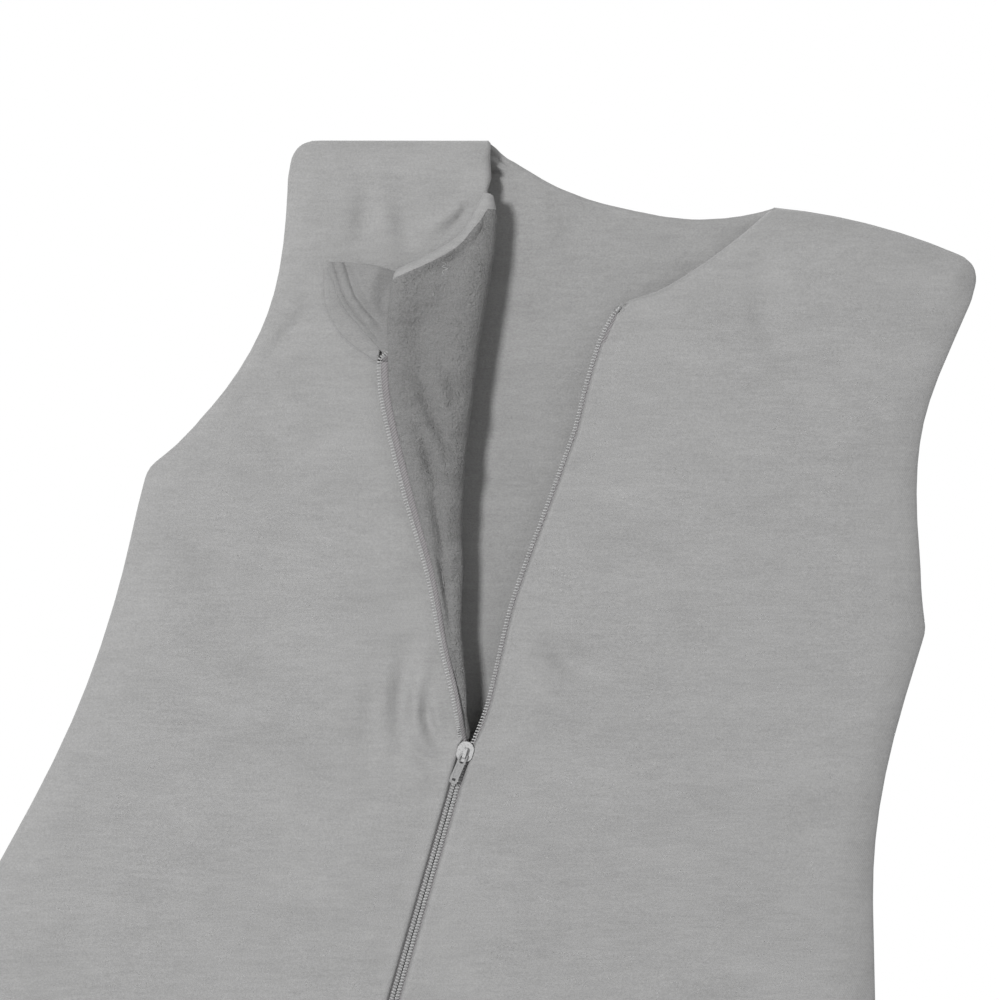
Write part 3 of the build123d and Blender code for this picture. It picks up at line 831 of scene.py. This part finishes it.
def back_panel():
    """The back, one padded sheet lying on the floor, its edges turned up to the seams."""
    left, right = outer_line(-1), outer_line(1)
    length, width = 890.0, 340.0
    rises = graded(0, 1, STEP / length, first=FINE / length, last=FINE / length)
    lefts = at_heights(left, left[0][1] + (left[-1][1] - left[0][1]) * rises)
    rights = at_heights(right, right[0][1] + (right[-1][1] - right[0][1]) * rises)
    neck = stretch(BACK_LOOP, NECK_POINTS[1], NECK_POINTS[-1])
    top = np.vstack([shoulder_line(-1)[:-1], neck[::-1], shoulder_line(1)[::-1][1:]])
    top[0], top[-1] = lefts[-1], rights[-1]
    hem = np.vstack([hem_line(-1)[:-1], hem_line(1)[::-1][1:]])
    hem[0], hem[-1] = lefts[0], rights[0]
    shares = graded(0, width, STEP, first=FINE, last=FINE) / width
    grid = patch(lefts, rights, along(hem, shares), along(top, shares))
    rows, cols = grid.shape[:2]
    flat = grid.reshape(-1, 2)
    seam_lines = [left, right, hem, shoulder_line(-1), shoulder_line(1)]
    sewn = np.min([distance_to(flat, line) for line in seam_lines], 0).reshape(rows, cols)
    free = distance_to(flat, neck).reshape(rows, cols)
    slack = np.zeros((rows, cols))
    for sign in (-1, 1):
        near = smooth(grid[..., 1], ARMPITS[sign][1] + 4, ARMPITS[sign][1] + 30)
        near = near * smooth(distance_to(flat, shoulder_line(sign)).reshape(rows, cols), 2, 14)
        slack = np.maximum(slack, near * (np.sign(grid[..., 0]) == sign))
    edge_z = SEAM_Z - 0.9 - slack * 5.2
    edge_half = 0.9 + slack * 1.2
    half = edge_half + (BACK_TOP / 2 - 0.1 - edge_half) * dome(sewn, 12)
    half = 1.7 + (half - 1.7) * dome(free, 8)
    level = BACK_TOP / 2
    mid = edge_z + (level - edge_z) * dome(sewn, 16 - 4 * slack)
    mid = mid + (1 - dome(free, 10)) * 0.9 * dome(sewn, 12)
    relief = 0.9 * ripple(grid[..., 0], grid[..., 1], 24, SEED + 21, 1.8)
    relief += 0.5 * ripple(grid[..., 0], grid[..., 1], 9, SEED + 23) * np.exp(-free / 12)
    relief = np.maximum(relief + 0.3, 0) * smooth(sewn, 0, 12)
    relief += np.maximum(creases(flat, BACK_CREASES).reshape(rows, cols), -1.2) * smooth(sewn, 0, 3)
    half = half + relief / 2
    mid = mid + relief / 2
    points = np.concatenate([grid, mid[..., None]], -1).reshape(-1, 3)
    faces = grid_faces(np.arange(rows * cols).reshape(rows, cols))
    normals = vertex_normals(points, faces)
    up = points + normals * half.ravel()[:, None]
    down = points - normals * half.ravel()[:, None]
    down[:, 2] = np.maximum(down[:, 2], 0.0)
    co, made, kinds = closed_sheet(points, faces, up, down)
    kinds = [1 if i < len(faces) else 0 for i in range(len(made))]
    return new_object("back", co, made, [OUTER, LINING], kinds)


BACK_CREASES = [
    (-2.6, 1.5, [(-61, 241), (-54, 239), (-49, 236)]),
    (2.6, 1.6, [(-60, 238.5), (-55, 236.5), (-49.5, 234.5)]),
    (-2.6, 1.5, [(-60, 235), (-54, 234), (-48, 233)]),
    (1.6, 1.8, [(-58, 231.5), (-52, 231), (-46, 230)]),
    (1.2, 5.0, [(-44, 232), (-30, 222), (-22, 205)]),
    (1.0, 5.0, [(40, 236), (44, 222), (52, 212)]),
    (-0.9, 6.0, [(-20, 150), (-8, 132), (4, 120)]),
    (0.8, 7.0, [(-30, 90), (-16, 70), (-8, 50)]),
]
back = back_panel()
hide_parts("back_outer", "back_wadding", "back_lining")
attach(back, "bag")

# ---- sweeps


def frames_along(path):
    """Unit tangent, side and up at each point of a line."""
    tangent = np.gradient(path, axis=0)
    tangent /= np.maximum(np.linalg.norm(tangent, axis=1), 1e-9)[:, None]
    side = np.cross(tangent, np.array([0, 0, 1.0]))
    side /= np.maximum(np.linalg.norm(side, axis=1), 1e-9)[:, None]
    return tangent, side, np.cross(side, tangent)


def sweep(path, section):
    """Points and faces of a closed tube: section is a list of (side, up) offsets."""
    _, side, up = frames_along(path)
    rings = [path + side * s + up * u for s, u in section]
    rings = np.stack(rings, 1)
    n, m = rings.shape[:2]
    ids = np.arange(n * m).reshape(n, m)
    faces = [[ids[i][j], ids[i][(j + 1) % m], ids[i + 1][(j + 1) % m], ids[i + 1][j]]
             for i in range(n - 1) for j in range(m)]
    faces += [list(ids[0][::-1]), list(ids[-1])]
    return rings.reshape(-1, 3), faces


def ellipse(width, height, count=10):
    """An upright ellipse as a section."""
    turns = np.linspace(0, 2 * math.pi, count, endpoint=False)
    return [(width / 2 * math.cos(t), height / 2 * math.sin(t)) for t in turns]


def gathered(parts):
    """Several meshes' points and faces as one."""
    points, faces, count = [], [], 0
    for co, made in parts:
        points.append(co)
        faces += [[v + count for v in f] for f in made]
        count += len(co)
    return np.vstack(points), faces


# ---- seams

SEAM_WELT = (2.4, 2.6)


def seam(name, line):
    """The rounded welt where front and back are sewn together."""
    s = lengths(line)[-1]
    path = along(line, np.linspace(0, 1, max(int(s / 3), 8)))
    wobble = ripple(path[:, 0], path[:, 1], 9, SEED + 31) * 0.25
    path = np.concatenate([path, (SEAM_Z + wobble)[:, None]], -1)
    piece = new_object(f"{name}_welt", *sweep(path, ellipse(*SEAM_WELT)), [OUTER])
    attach(piece, "bag")
    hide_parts(name)
    return piece


for side, sign in (("left", -1), ("right", 1)):
    whole = outer_line(sign)
    low = node_box(f"side_seam_{side}")[0][1]
    keep = (whole[:, 1] > low) & (whole[:, 1] < ARMPITS[sign][1] - 8)
    seam(f"side_seam_{side}", whole[keep])
    seam(f"shoulder_seam_{side}", shoulder_line(sign))
hem_top = node_box("hem_seam")[1][1]
hem_path = stretch(BACK_LOOP, np.array([-245.0, hem_top]), np.array([245.0, hem_top]))
seam("hem_seam", hem_path)

# ---- zip

# the coil's pitch, the length, width and height of one turn, and its distance from the zip's middle
PITCH = 1.25
TOOTH = (1.75, 0.86, 0.7)
OFFSET = 0.98
TUCK_RISES = (144, 150)
TUCK_SHIFT = 4.2
TUCK_DEPTH = 0.95


def zip_path(folded_side):
    """Centre line of one open coil, from the slider to its stop."""
    line = curve_through(risen(OPEN_ZIP_LEFT if folded_side else OPEN_ZIP_RIGHT), 600)
    s = lengths(line)
    z = np.full(len(line), ZIP_Z)
    if folded_side:
        # the top of the left half is tucked under its flap's edge
        tucked = smooth(line[:, 1] - SLIDER_Y, *TUCK_RISES)
        open_z = ZIP_Z + (FLAP_ZIP_Z - ZIP_Z) * smooth(s, 1, 17)
        z = open_z * (1 - tucked) + (FLAP_UNDER - TUCK_DEPTH) * tucked
        line = line + np.stack([TUCK_SHIFT * tucked, np.zeros(len(line))], -1)
    return np.concatenate([line, z[:, None]], -1)


def loops_along(path, sign, phase=0.0, wide=1.0, shift=0.0):
    """Coil turns along a path: a rounded bar across the tape, with its head turned up."""
    total = lengths(path)[-1]
    at = np.arange(PITCH / 2 + phase, total, PITCH)
    centres = along(path, at / total)
    tangent, side, up = frames_along(path)
    s = lengths(path) / total
    parts = []
    section = ellipse(*TOOTH[1:], 6)
    profile = [(-0.52, 0.5), (-0.36, 1.15), (0.0, 0.62), (0.36, 1.15), (0.52, 0.5)]
    for centre, share in zip(centres, at / total):
        t, d, u = (np.array([np.interp(share, s, v[:, i]) for i in range(3)]) for v in (tangent, side, up))
        ring = []
        for reach, size in profile:
            lift = 0.12 if reach > 0.3 else 0
            middle = centre + d * (reach * TOOTH[0] * wide * sign + shift) + t * reach * 0.35 + u * lift
            ring += [middle + t * a * size + u * b * size for a, b in section]
        n = len(section)
        faces = [[i * n + j, i * n + (j + 1) % n, (i + 1) * n + (j + 1) % n, (i + 1) * n + j]
                 for i in range(len(profile) - 1) for j in range(n)]
        faces += [list(range(n))[::-1], list(range((len(profile) - 1) * n, len(profile) * n))]
        parts.append((np.array(ring), faces))
    return parts


def ribbon(path, inner, outer, thickness, drop, narrow=None):
    """A flat tape beside a path, between two distances to its right, narrower where asked."""
    low, high = -thickness / 2 - drop, thickness / 2 - drop
    points, faces = sweep(path, [(inner, low), (outer, low), (outer, high), (inner, high)])
    if narrow is not None:
        rings = points.reshape(len(path), 4, 3)
        rings[:, 1] = rings[:, 0] + (rings[:, 1] - rings[:, 0]) * narrow[:, None]
        rings[:, 2] = rings[:, 3] + (rings[:, 2] - rings[:, 3]) * narrow[:, None]
        points = rings.reshape(-1, 3)
    return points, faces


def closed_path(sign):
    """Centre line of a shut coil, from the bottom stop to the slider."""
    low, high = node_box(f"zip_coil_{'left' if sign < 0 else 'right'}")[0][1], SLIDER_Y - 2.0
    y = np.linspace(low, high, 200)
    return np.stack([np.full(200, sign * OFFSET), y, np.full(200, ZIP_Z)], -1)


STOP = 3.0
for side, sign in (("left", -1), ("right", 1)):
    shut = closed_path(sign)
    coil = loops_along(shut, -1 if sign < 0 else 1, phase=0.0 if sign < 0 else PITCH / 2)
    teeth_points, teeth_faces = gathered(coil)
    # a dark bar under the teeth: partly the tape's grey, partly painted shade between the coil's turns
    core = sweep(shut + np.array([0, 0, -0.1]), [(-0.8, -0.25), (0.8, -0.25), (0.8, 0.2), (-0.8, 0.2)])
    kinds = [0] * len(teeth_faces) + [1] * len(core[1])
    both = gathered([(teeth_points, teeth_faces), core])
    piece = new_object(f"shut_coil_{side}", *both, [COIL, COIL_CORE_PAINTED_SHADE], kinds)
    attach(piece, "bag")
    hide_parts(f"zip_coil_{side}")
    low = shut.copy()
    low[0, 1] = ZIP_LOW
    low = np.vstack([low, [low[-1] + np.array([0, 2.5, 0])]])
    inner, outer = (0.1, 5.2) if sign > 0 else (-5.2, -0.1)
    tape = new_object(f"shut_tape_{side}", *ribbon(low, inner, outer, 0.45, 0.25), [TAPE_CLOTH])
    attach(tape, "bag")
    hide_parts(f"zip_tape_{side}")

    flap_body = f"{side}_flap"
    path = zip_path(sign < 0)
    total = lengths(path)[-1]
    open_part = along(path, np.linspace(2.6 / total, 1 - (STOP + 0.4) / total, 500))
    wide, shift = (1.2, -0.15) if sign < 0 else (1.0, 0.0)
    turns = loops_along(open_part, 1, wide=wide, shift=shift)
    open_coil = new_object(f"open_coil_{side}", *gathered(turns), [COIL])
    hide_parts(f"flap_coil_{side}")
    reach = along(path, np.linspace(2.5 / total, 1, 400))
    width = 5.4 if sign < 0 else 4.2
    if sign < 0:
        narrow = 0.35 + 0.45 * smooth(lengths(reach), 40, 110)
    else:
        narrow = 1 - 0.6 * smooth(lengths(reach), 178, 192)
    tape_mesh = ribbon(reach, 0.5 if sign < 0 else 0.1, width, 0.5, -0.25 if sign < 0 else 0.25, narrow)
    open_tape = new_object(f"open_tape_{side}", *tape_mesh, [TAPE_CLOTH])
    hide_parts(f"flap_tape_{side}")
    for piece in (open_coil, open_tape):
        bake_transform(piece)
    stop_path = along(path, np.linspace(1 - STOP / total, 1 - 0.2 / total, 6))
    stop_piece = new_object(f"stop_{side}", *sweep(stop_path, ellipse(2.4, 2.2, 8)), [METAL])
    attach(stop_piece, flap_body)
    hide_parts(f"top_stop_{side}")

frame["nodes"]["bottom_stop"].data.materials.clear()
frame["nodes"]["bottom_stop"].data.materials.append(METAL)
NODE_METALS = {"slider_body": PAINT, "slider_crown": PAINT, "slider_lock_pin": METAL, "pull_tab": TAB_LACQUER_PAINTED_SHADE}
for node, material in NODE_METALS.items():
    mesh = frame["nodes"][node].data
    mesh.materials.clear()
    mesh.materials.append(material)

# ---- chin guard

GUARD_UPPER = {
    "attached": [(-79.0, 181.2), (-80.2, 171.6), (-78.1, 161.7), (-73.5, 145.7)],
    "top": [(-79.0, 181.2), (-90, 181.2), (-101, 179.4), (-109.3, 177.3)],
    "free": [(-109.3, 177.3), (-99.1, 162.7), (-85.7, 153.3), (-73.5, 145.7)],
}
GUARD_LOWER = {
    "attached": [(-80.5, 180.8), (-82, 171), (-80.5, 161), (-78.6, 143.4)],
    "top": [(-80.5, 180.8), (-90, 180.6), (-101, 178.4), (-110.0, 174.6)],
    "free": [(-110.0, 174.6), (-105.4, 161), (-95.6, 150.5), (-78.6, 143.4)],
}


def leaf(name, shape, under, thickness, pipe, material):
    """One layer of the chin guard: a three-cornered leaf with a piped edge, thin where it is sewn on."""
    count = 72
    attached, top, free = (curve_through(risen(shape[part]), count) for part in ("attached", "top", "free"))
    free = free[::-1]
    share = np.linspace(0, 1, count)
    bow = (1 - share[:, None, None]) * free + share[:, None, None] * top
    grid = bow + (attached[::-1] - bow[:, 0])[:, None] * np.linspace(1, 0, count)[:, None]
    flat, size = grid.reshape(-1, 2), grid.shape[:2]
    rim = distance_to(flat, np.vstack([free, top[::-1]])).reshape(size)
    piping = distance_to(flat, free).reshape(size)
    sewn = distance_to(flat, attached).reshape(size)
    half = thickness / 2 * (0.4 + 0.6 * dome(rim, 2.0)) * np.ones(size)
    fuller = 0.7 * puff(piping, -1.5, 2.2) + 1.1 * puff(piping, 2.2, 6.3) + 2.0 * smooth(piping, 6.3, 11)
    fuller += 0.3 * ripple(grid[..., 0], grid[..., 1], 7, SEED + 41)
    z = under + thickness / 2 + pipe * fuller * smooth(sewn, 2.2, 10)
    points = np.concatenate([grid, z[..., None]], -1).reshape(-1, 3)
    faces = grid_faces(np.arange(count * count).reshape(count, count))
    if vertex_normals(points, faces)[:, 2].mean() < 0:
        faces = [f[::-1] for f in faces]
    upward = np.array([0, 0, 1.0]) * half.ravel()[:, None]
    co, made, _ = closed_sheet(points, faces, points + upward, points - upward)
    return new_object(name, co, made, [material])


# the guard's darker jerseys paint shade on both layers
guard_lining = leaf("guard_upper", GUARD_UPPER, 26.8, 1.2, 1.5, GUARD_PAINTED_SHADE)
guard_outer = leaf("guard_lower", GUARD_LOWER, 25.2, 1.0, 0.0, GUARD_BACK_PAINTED_SHADE)
for piece, layer, slot_name in (
    (guard_lining, "lining", "brushed_lining"),
    (guard_outer, "outer", "shell_jersey"),
):
    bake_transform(piece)
    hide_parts(f"chin_guard_{layer}")

# ---- loose threads

FLAP_THREADS = [
    [(-64.4, 190.1), (-62.2, 189.7), (-63.8, 188.3), (-61.1, 188.1), (-63.1, 186.5), (-62.1, 185.4)],
    [(-64.2, 177.0), (-63.8, 175.6)],
]
FRONT_THREADS = [[(143.5, 103.2), (145.8, 106.2), (149.4, 107.4), (152.0, 106.6)]]


def threads(name, lines, over, body):
    """Short lint threads lying on a sheet."""
    graph = bpy.context.evaluated_depsgraph_get()
    ground = BVHTree.FromObject(over, graph)
    parts = []
    for line in lines:
        plan = curve_through(risen(line), 14)
        heights = [ground.ray_cast(Vector((*p, 100)) * MM, Vector((0, 0, -1)))[0].z / MM for p in plan]
        path = np.concatenate([plan, np.array(heights)[:, None] + 0.12], -1)
        parts.append(sweep(path, ellipse(0.2, 0.2, 6)))
    piece = new_object(name, *gathered(parts), [THREAD])
    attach(piece, body)
    return piece


bpy.context.view_layer.update()
threads("flap_threads", FLAP_THREADS, left_front, "left_flap")
threads("front_threads", FRONT_THREADS, right_front, "bag")

# ---- care label

label_low, label_high = node_box("care_label")


def care_label():
    """A blank folded ribbon in the side seam, with a slight curl."""
    rows, cols = 18, 14
    x = np.linspace(label_low[0], label_high[0], cols)
    y = np.linspace(label_low[1], label_high[1], rows)
    gx, gy = np.meshgrid(x, y)
    curl = 0.5 * np.sin((gx - x[0]) / (x[-1] - x[0]) * math.pi) + 0.25 * np.sin(gy / 9.0)
    z = (label_low[2] + label_high[2]) / 2 + 0.6 + curl
    points = np.stack([gx, gy, z], -1).reshape(-1, 3)
    faces = grid_faces(np.arange(rows * cols).reshape(rows, cols))
    normals = vertex_normals(points, faces)
    co, made, _ = closed_sheet(points, faces, points + normals * 0.2, points - normals * 0.2)
    return new_object("label", co, made, [SATIN])


label = care_label()
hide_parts("care_label")
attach(label, "bag")

# ---- stage, light and camera

VIEW_ROLL = 16.0
VIEW_CENTRE = (-14.9, 299.2)
VIEW_HEIGHT = 410.0
CAMERA_RISE = 1600.0
SENSOR = 36.0


def stage():
    """A plain white floor under the bag."""
    size = 4000.0
    corners = [(-size, -size, -0.4), (size, -size, -0.4), (size, size, -0.4), (-size, size, -0.4)]
    material, _, shader = node_tree("floor_white")
    dress(
        shader, Base_Color=(0, 0, 0, 1), Specular_IOR_Level=0.0, Emission_Color=(1, 1, 1, 1),
        Emission_Strength=1.0,
    )
    floor = new_object("floor", corners, [[0, 1, 2, 3]], [material], flat=True)


def area_light(name, place, target, size, power):
    data = bpy.data.lights.new(name, "AREA")
    data.shape = "DISK"
    data.size = size * MM
    data.energy = power
    made = bpy.data.objects.new(name, data)
    bpy.context.scene.collection.objects.link(made)
    made.location = Vector(place) * MM
    aim = (Vector(target) - Vector(place)).to_track_quat("-Z", "Y")
    made.rotation_euler = aim.to_euler()


stage()
area_light("key", (-1060, 450, 2550), (0, 200, 0), 420, 57)
area_light("fill", (900, 300, 2800), (0, 0, 0), 2600, 8)
world = bpy.data.worlds.new("studio")
world.use_nodes = True
world.node_tree.nodes["Background"].inputs["Color"].default_value = (1, 1, 1, 1)
world.node_tree.nodes["Background"].inputs["Strength"].default_value = 0.3
bpy.context.scene.world = world
bpy.context.scene.view_settings.view_transform = "Standard"

camera_data = bpy.data.cameras.new("camera")
camera_data.sensor_width = SENSOR
camera_data.lens = SENSOR * (CAMERA_RISE - FRONT_TOP) / VIEW_HEIGHT
camera_data.clip_end = 20
camera = bpy.data.objects.new("camera", camera_data)
bpy.context.scene.collection.objects.link(camera)
camera.location = Vector((*VIEW_CENTRE, CAMERA_RISE)) * MM
camera.rotation_euler = (0, 0, math.radians(VIEW_ROLL))
bpy.context.scene.camera = camera
